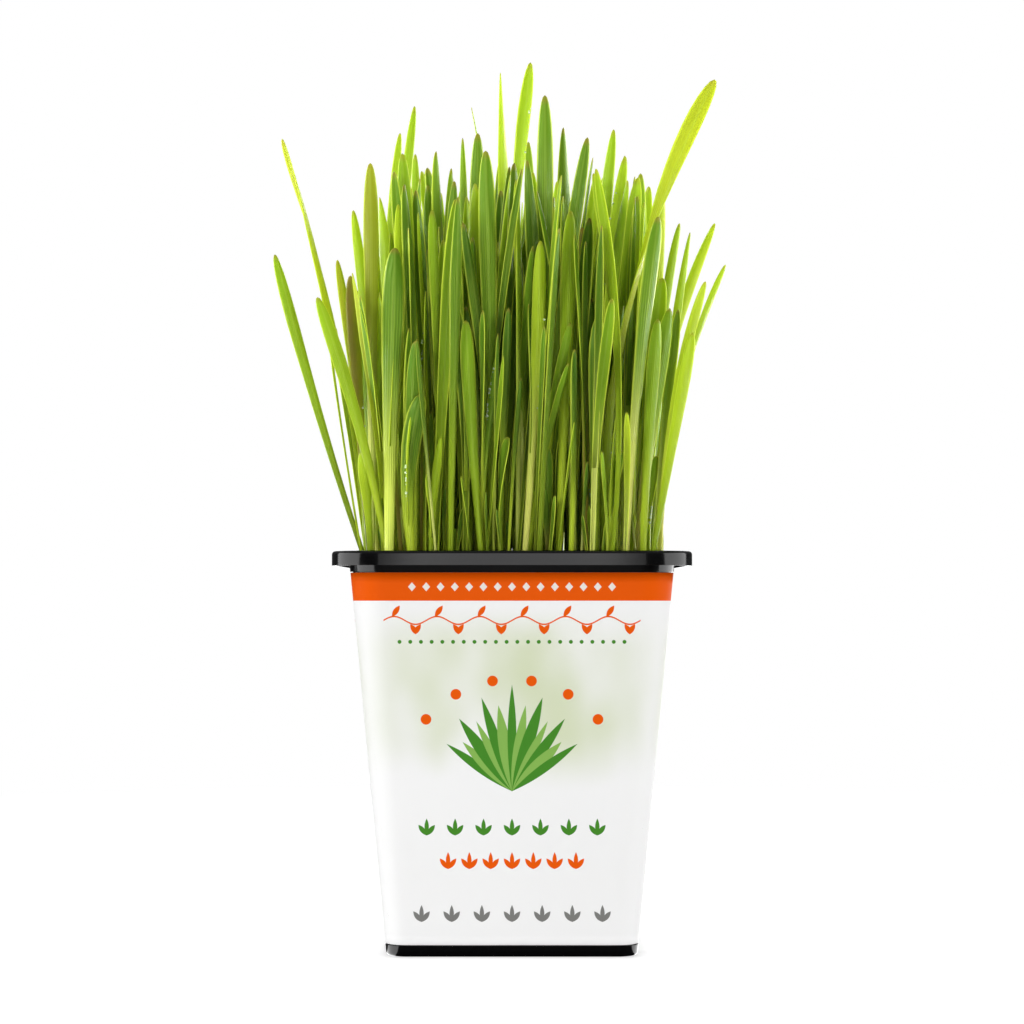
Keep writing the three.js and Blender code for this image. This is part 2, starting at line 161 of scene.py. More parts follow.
class Finish:
    """A material or a world. Every node comes from node(), and cover() ends it."""

    def __init__(self, name, kind="Material"):
        self.kind = kind
        self.made = getattr(bpy.data, kind.lower() + "s").new(name)
        self.made.use_nodes = True
        self.tree = self.made.node_tree
        self.tree.nodes.clear()

    def node(self, kind, settings, sockets, output=0):
        node = self.tree.nodes.new(kind)
        for name, value in settings.items():
            if name == "stops":
                self.set_stops(node.color_ramp.elements, value)
            else:
                setattr(node, name, value)
        for name, value in sockets.items():
            if isinstance(value, Wire):
                self.tree.links.new(value.socket, node.inputs[name])
            else:
                node.inputs[name].default_value = value
        return Wire(self, node.outputs[output]) if node.outputs else None

    def set_stops(self, elements, stops):
        while len(elements) < len(stops):
            elements.new(1)
        for element, (place, colour) in zip(elements, stops, strict=True):
            element.position = place
            element.color = (*colour, 1)

    def place(self):
        """Where a point of the surface is on the object, in metres."""
        return self.node("ShaderNodeTexCoord", {}, {}, "Object")

    def parts(self, vector):
        return [self.node("ShaderNodeSeparateXYZ", {}, {0: vector}, axis) for axis in range(3)]

    def stretched(self, x, y, z):
        """Object coordinates with each axis scaled, for a pattern drawn out along one of them."""
        return self.node("ShaderNodeMapping", {}, {"Vector": self.place(), "Scale": (x, y, z)})

    def noise(self, scale, detail=3, roughness=0.55, at=None):
        at = at or self.place()
        sockets = {"Vector": at, "Scale": scale, "Detail": detail, "Roughness": roughness}
        return self.node("ShaderNodeTexNoise", {}, sockets)

    def mix(self, factor, under, over):
        colours = [c if isinstance(c, Wire) else (*c, 1) for c in (under, over)]
        sockets = {0: factor, 6: colours[0], 7: colours[1]}
        return self.node("ShaderNodeMix", {"data_type": "RGBA"}, sockets, 2)

    def ramp(self, factor, stops):
        return self.node("ShaderNodeValToRGB", {"stops": stops}, {"Fac": factor})

    def bump(self, height, distance, strength=1.0):
        """A normal from a height in shares of a distance in metres."""
        sockets = {"Height": height, "Distance": distance, "Strength": strength}
        return self.node("ShaderNodeBump", {}, sockets)

    def surface(self, **sockets):
        """A Principled surface, its sockets named in Python's way."""
        named = {}
        for name, value in sockets.items():
            named[name.replace("_", " ").title().replace("Ior", "IOR")] = value
        return self.node("ShaderNodeBsdfPrincipled", {}, named)

    def blend(self, factor, under, over):
        """Two surfaces mixed, all of the second where the factor is 1."""
        return self.node("ShaderNodeMixShader", {}, {0: factor, 1: under, 2: over})

    def cover(self, surface):
        self.node("ShaderNodeOutput" + self.kind, {}, {"Surface": surface})
        return self.made

    def all_over(self, **sockets):
        """Covers the whole material with one Principled surface."""
        return self.cover(self.surface(**sockets))


def mesh_from(name, bm):
    mesh = bpy.data.meshes.new(name)
    bm.to_mesh(mesh)
    bm.free()
    return mesh


def finished(name, bm, *materials):
    """The object for a mesh modelled in millimetres, smooth shaded and placed at the origin."""
    bmesh.ops.scale(bm, vec=(MM, MM, MM), verts=bm.verts)
    mesh = mesh_from(name, bm)
    mesh.shade_smooth()
    for material in materials:
        mesh.materials.append(material)
    piece = bpy.data.objects.new(name, mesh)
    bpy.context.scene.collection.objects.link(piece)
    return piece


def round_square(half, corner, z):
    """The points of a round-cornered square at one height, anticlockwise from its right side."""
    points = []
    for side in range(4):
        turn = Matrix.Rotation(side * math.pi / 2, 3, "Z")
        middle = Vector((half - corner, half - corner, z))
        for step in range(CORNER_STEPS + 1):
            angle = step / CORNER_STEPS * math.pi / 2
            edge = Vector((math.cos(angle), math.sin(angle), 0)) * corner
            points.append(turn @ (middle + edge))
    return points


def pot_level(z, inset=0.0):
    """Half width, corner radius and height of the pot's outer face, moved inwards by inset."""
    return (BASE_HALF + TAPER * z - inset, BASE_CORNER + CORNER_GROWTH * z - inset, z)


def inner_wall(z, clear=0.0):
    return pot_level(z, PANEL_SUNK + WALL + clear)


def rim_level(inset, z):
    return (RIM_HALF - inset, RIM_CORNER - inset, z)


def heading(item):
    point = getattr(item, "co", item)
    return math.atan2(point.y, point.x)


def placed_on(verts, points):
    """Moves a ring of vertices on to as many points, matched by their heading."""
    for vert, point in zip(sorted(verts, key=heading), sorted(points, key=heading), strict=True):
        vert.co = point


def edges_of(verts):
    return list({edge for vert in verts for edge in vert.link_edges})


def drawn_out(bm, edges):
    """Grows wall faces from a loop of edges. Gives the vertices and the loop at their far side."""
    grown = bmesh.ops.extrude_edge_only(bm, edges=edges)["geom"]
    fresh = {item for item in grown if isinstance(item, bmesh.types.BMVert)}
    new_edges = [item for item in grown if isinstance(item, bmesh.types.BMEdge)]
    return fresh, [edge for edge in new_edges if set(edge.verts) <= fresh]


def loft(bm, levels):
    """Wall faces from the first level to the last. Gives the two loops of edges that end it."""
    points = round_square(*levels[0])
    made = bmesh.ops.create_circle(bm, segments=len(points), radius=1)["verts"]
    placed_on(made, points)
    first = ring = edges_of(made)
    for level in levels[1:]:
        fresh, ring = drawn_out(bm, ring)
        placed_on(fresh, round_square(*level))
    return first, ring


def pot_mesh():
    bm = bmesh.new()
    ring_inner = BASE_HALF - FOOT_RING
    rim_low = POT_HEIGHT - RIM_DEPTH
    rim_under = POT_HEIGHT - RIM_WALL
    inner_floor = FOOT_SUNK + POT_FLOOR
    turns = [step / ARC_STEPS * math.pi / 2 for step in range(ARC_STEPS + 1)]
    foot = [(BASE_ROUND * (1 - math.cos(a)), BASE_ROUND * (1 - math.sin(a))) for a in turns]
    brow = [(RIM_ROUND * (1 - math.cos(a)), RIM_ROUND * (1 - math.sin(a))) for a in turns]
    levels = [
        (ring_inner - FOOT_SUNK / 2, RING_CORNER, FOOT_SUNK),
        (ring_inner, RING_CORNER, 0),
        *[pot_level(z, inset) for z, inset in foot],
        pot_level(PANEL_LOW),
        pot_level(PANEL_LOW, PANEL_SUNK),
        pot_level(PANEL_HIGH, PANEL_SUNK),
        pot_level(PANEL_HIGH),
        pot_level(rim_under),
        rim_level(RIM_WALL, rim_under),
        rim_level(RIM_WALL, rim_low),
        rim_level(0, rim_low),
        *[rim_level(inset, POT_HEIGHT - down) for inset, down in brow],
        inner_wall(POT_HEIGHT, -RIM_ROUND),
        inner_wall(POT_HEIGHT - RIM_ROUND * 0.3, -RIM_ROUND * 0.3),
        inner_wall(POT_HEIGHT - RIM_ROUND),
        inner_wall(inner_floor),
    ]
    under_edge, floor_edge = loft(bm, levels)
    pad_top = (PAD_HALF + FOOT_SUNK / 2, PAD_CORNER, FOOT_SUNK)
    pad_rim, pad_edge = loft(bm, [(PAD_HALF, PAD_CORNER, 0), pad_top])
    bmesh.ops.contextual_create(bm, geom=pad_rim)
    for x in (-DRAIN_OFFSET, DRAIN_OFFSET):
        for y in (-DRAIN_OFFSET, DRAIN_OFFSET):
            rims = []
            for z, edges in ((FOOT_SUNK, under_edge), (inner_floor, floor_edge)):
                hole = bmesh.ops.create_circle(
                    bm,
                    segments=DRAIN_SIDES,
                    radius=DRAIN_RADIUS,
                    matrix=Matrix.Translation((x, y, z)),
                )
                rim = edges_of(hole["verts"])
                edges.extend(rim)
                rims.extend(rim)
            bmesh.ops.bridge_loops(bm, edges=rims)
    bmesh.ops.triangle_fill(bm, use_beauty=True, edges=under_edge + pad_edge)
    bmesh.ops.triangle_fill(bm, use_beauty=True, edges=floor_edge)
    bmesh.ops.recalc_face_normals(bm, faces=bm.faces)
    return bm


def black_plastic():
    f = Finish("black plastic")
    grain = f.noise(900, detail=2)
    haze = f.noise(38, detail=4)
    flow = f.noise(14, detail=1, at=f.stretched(1, 1, 0.35))
    dust = f.noise(260, detail=5).smooth(0.62, 0.8) * 0.05
    colour = f.mix(dust, (0.0015, 0.0015, 0.0018), (0.12, 0.115, 0.11))
    return f.all_over(
        base_color=colour,
        roughness=0.09 + haze * 0.06 + grain * 0.03,
        normal=f.bump(flow + grain * 0.02, 0.0004, 0.2),
        ior=1.42,
    )


pot = finished("pot_moulding", pot_mesh(), black_plastic())
softened = pot.modifiers.new("softened edges", "BEVEL")
softened.width = MOULD_ROUND * MM
softened.segments = 3
softened.limit_method = "ANGLE"
softened.angle_limit = math.radians(MOULD_ROUND_FROM)
softened.harden_normals = True
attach(pot, "root")
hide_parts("pot")

# ---- Paper band ----
# One strip of coated paper, printed alike for each of the four sides, wrapped round the sunk panel
# and glued to itself in a lap at the back. It lies a little unevenly over the wall.

EDGE_GAP = 0.3
PAPER = 0.3
BAND_SUNK = 0.06
LAP_FROM = 24  # the lap starts and ends this far across the back face
LAP_TO = 12
LAP_RISE = 0.35
LAP_SLOPE = 3
BAND_AROUND = 280
BAND_UP = 36
UNEVEN = 0.05

PRINT_ORANGE = (0.82, 0.1, 0.0)
PRINT_GREEN = (0.06, 0.25, 0.022)
PRINT_PALE_GREEN = (0.24, 0.46, 0.09)
PRINT_GREY = (0.2, 0.2, 0.19)
PRINT_SAGE = (0.66, 0.72, 0.5)
PAPER_WHITE = (0.92, 0.92, 0.92)
PAPER_SHADE = (0.89, 0.89, 0.89)
PRINT_EDGE = 0.06  # how far the edge of a printed shape fades
# Each row's height, its pitch, and how far it reaches to each side of the middle.
LOZENGES = (104.4, 4, 30)
STEM = (95, 12, 36)
BEADS = (89, 3, 33)
GREEN_SPRIGS = (36, 8, 28)
ORANGE_SPRIGS = (26.5, 6, 21)
GREY_SPRIGS = (11.5, 8.5, 29.75)
# Half the length and half the breadth of a printed leaf.
STEM_LEAF = (1.9, 0.75)
SPRIG_SIDE_LEAF = (1.9, 0.7)
SPRIG_MIDDLE_LEAF = (2.4, 0.62)
STRIPE_FROM = 100.5
LOZENGE_HALF = 1.25
LOZENGE_SLIM = 1.15
LOZENGE_INK = (0.86, 0.8, 0.74)
STEM_SWING = 1.1
STEM_HALF = 0.22
BEAD_RADIUS = 0.55
TUFT_FOOT = 47
TUFT_BLADES = 13
TUFT_FAN = 9  # degrees from one blade to the next
TUFT_LENGTH = 15
SEED_HEADS = 6
SEED_HEAD_FAN = 20
SEED_HEADS_OUT = 31.5
SEED_HEAD_RADIUS = 1.5


def eased(value):
    """0 at 0 and below, 1 at 1 and above, with an eased slope between."""
    held = min(max(value, 0), 1)
    return held * held * (3 - 2 * held)


def round_the_pot(half, corner, distance):
    """The point at a distance anticlockwise from the middle of the back, and the way it faces."""
    flat = half - corner
    side_length = 2 * flat + corner * math.pi / 2
    side, along = divmod(distance + flat, side_length)
    turn = Matrix.Rotation(side * math.pi / 2, 3, "Z")
    if along < 2 * flat:
        return turn @ Vector((flat - along, half, 0)), turn @ Vector((0, 1, 0))
    angle = (along - 2 * flat) / corner
    facing = Vector((-math.sin(angle), math.cos(angle), 0))
    return turn @ (Vector((-flat, flat, 0)) + facing * corner), turn @ facing


def band_mesh():
    bm = bmesh.new()
    made = bmesh.ops.create_grid(bm, x_segments=BAND_AROUND, y_segments=BAND_UP, size=0.5)
    low = PANEL_LOW + EDGE_GAP
    high = PANEL_HIGH - EDGE_GAP
    for vert in made["verts"]:
        z = low + (high - low) * (vert.co.y + 0.5)
        half, corner, _ = pot_level(z, BAND_SUNK)
        once = 8 * (half - corner) + 2 * math.pi * corner
        distance = (vert.co.x + 0.5) * (once + LAP_FROM - LAP_TO)
        risen = LAP_RISE * eased((distance - once) / LAP_SLOPE + 1)
        point, facing = round_the_pot(half, corner, distance - LAP_FROM)
        point.z = z
        bulge = UNEVEN * noise.noise(point * 0.045)
        vert.co = point + facing * (risen + bulge)
    return bm


def inked(inside):
    """1 where a distance inside a shape's edge is above nought, and 0 outside it."""
    return inside.smooth(-PRINT_EDGE, PRINT_EDGE)


def between(value, low, high):
    return inked(value - low) * inked(high - value)


def from_nearest(across, pitch, first=0):
    """How far a point is from the nearest place of a row, one of which is at first."""
    return (across + (pitch / 2 - first)) % pitch - pitch / 2


def printed_dot(x, y, radius):
    return inked(radius - (x * x + y * y) ** 0.5)


def printed_leaf(across, up, middle, size, lean):
    """A leaf or blade with its middle at a place, leaning over from upright by some degrees."""
    x, z = middle
    half_length, half_breadth = size
    tilt = math.radians(lean)
    along = (across - x) * math.sin(tilt) + (up - z) * math.cos(tilt)
    aside = (across - x) * math.cos(tilt) - (up - z) * math.sin(tilt)
    reach = along * (1 / half_length)
    return inked((1 - reach * reach) * half_breadth - abs(aside))


def print_stripe(f, colour, across, up):
    """The top stripe, with a row of small pale lozenges."""
    height, pitch, reach = LOZENGES
    colour = f.mix(inked(up - STRIPE_FROM), colour, PRINT_ORANGE)
    aside = abs(from_nearest(across, pitch))
    lozenges = inked(LOZENGE_HALF - aside * LOZENGE_SLIM - abs(up - height))
    return f.mix(lozenges * between(across, -reach, reach), colour, LOZENGE_INK)


def print_stem(f, colour, across, up):
    """A winding stem with a leaf at every bend, and a row of dots below it."""
    height, pitch, reach = STEM
    above = up - height - (across * (2 * math.pi / pitch)).maths("SINE") * STEM_SWING
    stem = between(above, -STEM_HALF, STEM_HALF) * between(across, -reach, reach)
    colour = f.mix(stem, colour, PRINT_ORANGE)
    bend = from_nearest(across, pitch, pitch / 4)
    upper = printed_leaf(bend, up, (0.5, height + 2.6), STEM_LEAF, 35)
    lower = printed_leaf(abs(bend), up, (5.6, height - 2.6), STEM_LEAF, 145)
    leaves = upper.either(lower) * between(across, 1 - reach, reach - 1)
    colour = f.mix(leaves, colour, PRINT_ORANGE)
    height, pitch, reach = BEADS
    beads = printed_dot(from_nearest(across, pitch, pitch / 2), up - height, BEAD_RADIUS)
    return f.mix(beads * between(across, -reach, reach), colour, PRINT_GREEN)


def print_tuft(f, colour, across, up):
    """A tuft of blades with round seed heads over it."""
    for n in range(TUFT_BLADES):
        lean = TUFT_FAN * (n - TUFT_BLADES // 2)
        length = TUFT_LENGTH - 0.055 * abs(lean) ** 1.05 - 2.2 * (n % 2)
        away = math.radians(lean)
        middle = (length * math.sin(away), TUFT_FOOT + length * math.cos(away))
        blade = printed_leaf(across, up, middle, (length, 1.25 + 0.25 * (n % 3)), lean)
        colour = f.mix(blade, colour, PRINT_PALE_GREEN if n % 2 else PRINT_GREEN)
    for n in range(SEED_HEADS):
        away = math.radians(SEED_HEAD_FAN * (n - (SEED_HEADS - 1) / 2))
        x = across - SEED_HEADS_OUT * math.sin(away)
        z = up - TUFT_FOOT - SEED_HEADS_OUT * math.cos(away)
        colour = f.mix(printed_dot(x, z, SEED_HEAD_RADIUS), colour, PRINT_ORANGE)
    return colour


def print_sprigs(f, colour, across, up):
    """Rows of little sprigs on the plain white, each of an upright leaf with one to each side."""
    rows = ((GREEN_SPRIGS, PRINT_GREEN), (ORANGE_SPRIGS, PRINT_ORANGE), (GREY_SPRIGS, PRINT_GREY))
    for (height, pitch, reach), ink in rows:
        place = from_nearest(across, pitch)
        sides = printed_leaf(abs(place), up, (1.15, height), SPRIG_SIDE_LEAF, 38)
        middle = printed_leaf(place, up, (0, height + 0.9), SPRIG_MIDDLE_LEAF, 0)
        colour = f.mix(sides.either(middle) * between(across, -reach, reach), colour, ink)
    return colour


def printed_paper():
    f = Finish("printed paper")
    x, y, up = [part * (1 / MM) for part in f.parts(f.place())]
    to_side = (abs(x) - abs(y)).smooth(-0.01, 0.01)
    across = (to_side - 1) * x * y.maths("SIGN") + to_side * y * x.maths("SIGN")
    colour = f.mix(f.noise(9, detail=2).smooth(0.35, 0.7), PAPER_WHITE, PAPER_SHADE)

    # A soft sage wash behind the upper part, which fades out before the corners.
    haze = f.noise(30, detail=2, at=f.stretched(1, 1, 0.6)).smooth(0.3, 0.7)
    inwards = (abs(across) + haze * 8).smooth(48, 34)
    wash = (up + haze * 8).smooth(54, 72) * up.smooth(100, 86) * inwards
    colour = f.mix(wash * (0.15 + haze * 0.85), colour, PRINT_SAGE)

    for print_on in (print_stripe, print_stem, print_tuft, print_sprigs):
        colour = print_on(f, colour, across, up)
    fibre = f.noise(2200, detail=2)
    return f.all_over(
        base_color=colour,
        roughness=0.42 + fibre * 0.1,
        normal=f.bump(fibre + f.noise(60) * 4, 0.00001),
        specular_ior_level=0.05,
    )


def paper_core():
    f = Finish("paper core")
    fibre = f.noise(3000, detail=4)
    colour = f.mix(fibre, (0.62, 0.6, 0.55), (0.8, 0.79, 0.75))
    return f.all_over(base_color=colour, roughness=0.9, normal=f.bump(fibre, 0.00003))


band = finished("printed_band", band_mesh(), printed_paper(), paper_core())
thickened = band.modifiers.new("paper thickness", "SOLIDIFY")
thickened.thickness = PAPER * MM
thickened.offset = -1
thickened.material_offset = 1
thickened.material_offset_rim = 1
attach(band, "root")
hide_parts("paper_band")

# ---- Soil and root mat ----
# Dark potting soil fills the pot. Over it lies the mat of roots that the seedlings have knitted
# together, which is level with the top of the pot's wall, crumbly and threaded with pale roots.

SOIL_TOP = 103.2
MAT_TOP = 107
MAT_CLEAR = 0.3
MAT_CELLS = 120
CRUMB_HEIGHT = 0.8


def potting_soil():
    f = Finish("potting soil")
    crumb = f.noise(420, detail=6, roughness=0.7)
    lump = f.noise(110, detail=3)
    perlite = f.noise(300, detail=1).smooth(0.72, 0.78)
    colour = f.ramp(crumb, [(0.3, (0.008, 0.005, 0.003)), (0.7, (0.055, 0.034, 0.02))])
    colour = f.mix(perlite, colour, (0.35, 0.32, 0.27))
    return f.all_over(base_color=colour, roughness=0.95, normal=f.bump(crumb + lump, 0.0015))


def wall_share(x, y, half, corner):
    """How far the wall of a round-cornered square is along a heading, if its flat side is at 1."""
    long, short = max(abs(x), abs(y)), min(abs(x), abs(y))
    if long == 0:
        return 1
    slope = short / long
    flat = 1 - corner / half
    if slope <= flat:
        return 1
    # Where the line from the middle meets the corner's arc.
    a = 1 + slope * slope
    b = flat * (1 + slope)
    c = 2 * flat * flat - (corner / half) ** 2
    return (b + math.sqrt(max(b * b - a * c, 0))) / a


def mat_mesh():
    bm = bmesh.new()
    half, corner, _ = inner_wall(MAT_TOP, MAT_CLEAR)
    bmesh.ops.create_grid(bm, x_segments=MAT_CELLS, y_segments=MAT_CELLS, size=half)
    lowered, bottom = drawn_out(bm, [edge for edge in bm.edges if edge.is_boundary])
    bmesh.ops.contextual_create(bm, geom=bottom)
    for vert in bm.verts:
        x, y = vert.co.x, vert.co.y
        held = wall_share(x, y, half, corner)
        place = Vector((x * held, y * held, 0))
        rough = noise.fractal(place * 0.35, 1, 2, 4) + 0.6 * noise.noise(place * 1.3)
        top = MAT_TOP + CRUMB_HEIGHT * (rough - 0.4)
        vert.co = (place.x, place.y, SOIL_TOP + MAT_CLEAR if vert in lowered else top)
    bmesh.ops.recalc_face_normals(bm, faces=bm.faces)
    return bm


def root_mat():
    f = Finish("root mat")
    crumb = f.noise(500, detail=6, roughness=0.7)
    swirl = f.noise(90, detail=2)
    thread = abs(f.noise(170, detail=3, roughness=0.4) - 0.5).smooth(0.018, 0.004)
    husk = f.noise(350, detail=1).smooth(0.6, 0.68)
    colour = f.ramp(crumb, [(0.3, (0.01, 0.0065, 0.004)), (0.72, (0.075, 0.046, 0.024))])
    colour = f.mix(husk * 0.7, colour, (0.26, 0.16, 0.07))
    colour = f.mix(thread * swirl.smooth(0.4, 0.6), colour, (0.62, 0.56, 0.42))
    return f.all_over(base_color=colour, roughness=0.92, normal=f.bump(crumb + thread, 0.001))


soil_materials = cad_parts["soil"].data.materials
soil_materials.clear()
soil_materials.append(potting_soil())

mat = finished("root_mat", mat_mesh(), root_mat())
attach(mat, "root")

# ---- Grass ----
# Young wheatgrass, sown thickly on a loose grid. The blades that give the clump its outline stand
# in a table, and the seedlings between them are sown by a seeded rule that keeps blades apart.

SEED = 20117
PATCHES = 6
ROWS = 19
SOWN_HALF = 42
SCATTER = 0.42
TRIES = 60
STEM_THICK = 1.2
STEM_ENDS = 0.3  # as a share of a blade's height
BLADE_THICK = 0.7
BLADE_GAP = 0.16
NARROW_AT_ROOT = 0.45
WIDEST_AT = 0.78
BLUNT = 3  # how full a tip is: a round one, and a pointed one
POINTED = 1.2
POINTED_SHARE = 0.16
STATIONS = (0, 0.36, 0.78, 0.95, 1)
SLICE = 2  # blades are kept apart at levels this far from each other
HIGHEST_SLICE = 260
PATCH_EDGE = 1.1
WALL_EDGE = 0.5
TALLEST_SOWN = 120  # above the rim, in the middle of the clump
LOWER_AT_SIDES = 24
SHORT_SHARE = 0.2
LEAN_OUT = 0.0019
LEAN = 0.14
BOW = 3
CLUMP_HALF = 42
CLUMP_TOP = 220
CLUMP_FLARE = 1 / 6

# Root x, root y, tip x, tip y, tip z, bow x, widest, turn at the root in degrees, twist to the tip,
# how light it is, from a cool dark green at 0 to pale at 0.88 and olive at 1, and how full the tip
# is, unless it is blunt. How light a blade is holds painted light as well as its own colour: the
# outer blades, lit from behind, are made pale, and blades in the shade inside the clump dark.
LEADING_BLADES = (
    (-41.5, -20, -66.5, -27, 234, 8, 4.2, 4, 130, 0.95),
    (-40, -36, -66.8, -44, 198, -1.8, 3.4, 15, 10, 0.53),
    (-34, -39, -54.5, -47, 185.5, 4, 4, 0, 5, 0.62),
    (-42, -26, -50, -33, 198, 4, 3, 20, 10, 0.965),
    (-39, -9, -47, -10, 216, 3.5, 3.1, -20, 20, 0.8),
    (-40, -33, -40.5, -35, 225.5, 0.5, 4.4, -8, 10, 0.995),
    (-35.5, 6, -34, 8, 242.5, -6.5, 3, 40, -30, 0.7),
    (-31.5, 12, -30, 18, 252.8, -8.5, 3, 70, -80, 0.62),
    (-27.5, -32, -31.5, -31, 229, 1, 4.5, 10, -10, 0.5),
    (-27, -12, -28.5, -14, 232, 0, 2.9, -15, 20, 0.6),
    (-26, 21, -26.5, 22, 234, 0, 2.7, 10, 0, 0.5),
    (-22, -22, -24.5, -22, 221.5, 0, 3.5, 12, -20, 0.3),
    (-21, -11, -23, -11, 224, 0, 3.2, -10, 20, 0.4),
    (-34.5, -42, -33, -43, 200, -1, 6.5, -6, 10, 0.22),
    (-18.5, -33, -16.5, -34, 220.5, -2.5, 3.2, 15, -15, 0.2),
    (-13, 7, -15, 8, 241, 0, 2.8, 20, -30, 0.4, POINTED),
    (-11, -20, -10, -20, 237, 0, 4.5, -5, 10, 0.25),
    (-6, 18, -12.5, 19, 252.5, 12, 2.2, 50, 40, 0.17, POINTED),
    (-5.5, -37, -7.5, -38, 228.5, 0.5, 5, 6, -8, 0.25),
    (-3, 4, -3.5, 4, 260, 3, 4, -25, 95, 0.82, POINTED),
    (2, -5, 5.5, -6, 261, -7.5, 4.7, 50, 130, 0.66),
    (6.5, -26, 9.5, -28, 246.5, 2, 4.8, 8, -8, 0.2),
    (13.4, -20, 15, -21, 238.5, 2, 5.4, 5, 35, 0.15, POINTED),
    (7.5, -35, 21.5, -37, 232.5, -3.5, 3.9, -12, 15, 0.15),
    (9, 12, 5, 14, 241, 0, 3.2, 20, -20, 0.4),
    (25.5, -12, 30, -13, 239.5, -6, 3.6, 20, -40, 0.58),
    (25.5, -31, 32.5, -32, 228, -5.5, 3.8, -10, 20, 0.75),
    (35, -20, 37.5, -21, 225, 0, 4, -12, 10, 0.5),
    (27, -36, 57.5, -40, 248.5, -20.5, 7.4, 42, 130, 0.955),
    (27.5, -42, 23, -44, 221, 9.5, 3.4, 60, -50, 0.73),
    (41, -10, 49.5, -11, 212, -6.5, 2.8, 10, 10, 0.68),
    (42, -24, 51.5, -26, 207, -4, 2.6, 0, 25, 0.72, POINTED),
    (42, 2, 61, 2, 214, -14, 3.2, 50, -70, 0.88),
    (41.5, -31, 61, -34, 196.5, -10, 2.6, 80, -60, 0.8),
    (42, -36, 54.5, -43, 190.5, -7, 3, -10, 20, 0.88),
    (23.5, -39, 24.5, -41, 181, -0.5, 5.1, 0, 0, 0.08),
    (3, -42, 8, -43, 202, 1.5, 3.8, -15, 15, 0.82),
    (3.5, -39, 16.5, -42, 179, -1.5, 3, 5, -10, 0.5),
    (-8, -42, -13, -44, 179.5, -1, 4, 0, 8, 0.55),
    (-27, -42, -25.5, -45, 158.5, -6, 5.7, 10, 0, 0.15),
    (-23, -42, -20, -43, 146.5, -1.5, 2.6, -20, 10, 0.79, POINTED),
    (38.5, -39.3, 50.8, -44, 176, 0, 3.5, -10, 5, 0.84),
    (38, -17, 44, -18, 222, 0, 3.6, 10, 10, 0.9),
)

SLICE_HEIGHTS = np.arange(math.ceil(MAT_TOP / SLICE), HIGHEST_SLICE // SLICE + 1) * SLICE


def draw(*keys):
    """An even random number from 0 to 1 for a run of whole numbers, the same each time.

    What is drawn for anything but a sown blade starts with a number of its own, 2000 or more.
    """
    mixed = SEED
    for key in keys:
        mixed = ((mixed ^ key) * 0x9E3779B1) & 0xFFFFFFFF
        mixed ^= mixed >> 15
        mixed = (mixed * 0x85EBCA6B) & 0xFFFFFFFF
        mixed ^= mixed >> 13
    return mixed / 2**32


class Blade:
    """A blade's centre line, width and turning, at any share of its height above the mat."""

    def __init__(self, root, tip, bow, width, turn, twist, tone=None, full=BLUNT):
        self.root = np.array(root, float)
        self.tip = np.array(tip, float)
        self.bow = np.array(bow, float)
        self.width = width
        self.turn = math.radians(turn)
        self.twist = math.radians(twist)
        self.tone = tone
        self.full = full
        self.height = tip[2] - MAT_TOP

    def middle(self, share):
        bowed = 2 * share * (1 - share)
        return self.root + (self.tip[:2] - self.root) * share + bowed * self.bow

    def width_at(self, share):
        if share < WIDEST_AT:
            grown = (max(share, 0) / WIDEST_AT) ** 1.3
            return self.width * (NARROW_AT_ROOT + (1 - NARROW_AT_ROOT) * grown)
        past = (share - WIDEST_AT) / (1 - WIDEST_AT)
        return self.width * math.sqrt(max(0, 1 - past**self.full))

    def turned(self, share):
        return self.turn + self.twist * share * share

    def thickness_at(self, share):
        thinned = share * (STEM_THICK - BLADE_THICK) / STEM_ENDS
        return max(BLADE_THICK, STEM_THICK - thinned)

    def slices(self, kept_clear=None):
        """x, y, half width along x and y, and thickness at each slice height, blank above the tip."""
        rows = []
        for share in STATIONS:
            angle = self.turned(share)
            across = self.width_at(share) / 2
            x, y = self.middle(share)
            thick = kept_clear or self.thickness_at(share)
            rows.append((x, y, across * math.cos(angle), across * math.sin(angle), thick))
        heights = [MAT_TOP + self.height * share for share in STATIONS]
        columns = [np.interp(SLICE_HEIGHTS, heights, column) for column in zip(*rows, strict=True)]
        return np.where(SLICE_HEIGHTS < self.tip[2], columns, np.nan)


def sown_blade(i, attempt):
    """The way that seedling number i grows on a given try. Later tries are narrower and straighter."""
    pitch = 2 * SOWN_HALF / ROWS
    random = partial(draw, i, attempt)

    def spread(n):
        return random(n) + random(n + 1) - 1

    x = (i % ROWS + 0.5 + SCATTER * spread(0)) * pitch - SOWN_HALF
    y = (i // ROWS + 0.5 + SCATTER * spread(2)) * pitch - SOWN_HALF
    edge = max(abs(x), abs(y)) / SOWN_HALF
    tallest = TALLEST_SOWN - LOWER_AT_SIDES * edge**4
    short = random(4) < SHORT_SHARE
    share = 0.25 + 0.45 * random(5) if short else 1 - 0.42 * random(5) ** 1.3
    height = tallest * share
    calm = 1 - 0.6 * attempt / TRIES
    lean_x = height * (LEAN_OUT * x + LEAN * calm * spread(6))
    lean_y = height * (LEAN_OUT * y + LEAN * calm * spread(8))
    return Blade(
        root=(x, y),
        tip=(x + lean_x, y + lean_y, POT_HEIGHT + height),
        bow=(BOW * calm * spread(10) - lean_x / 4, BOW * calm * spread(12) - lean_y / 4),
        width=(2.6 if short else 3.2) + 1.9 * calm * random(14),
        turn=180 * random(15),
        twist=100 * spread(16),
        full=POINTED if random(18) < POINTED_SHARE else BLUNT,
    )


def point_to_line(px, py, x, y, wx, wy):
    """Distance from points to lines, each given by its middle and half its length."""
    along = ((px - x) * wx + (py - y) * wy) / np.maximum(wx * wx + wy * wy, 1e-12)
    held = np.clip(along, -1, 1)
    return np.hypot(px - x - held * wx, py - y - held * wy)


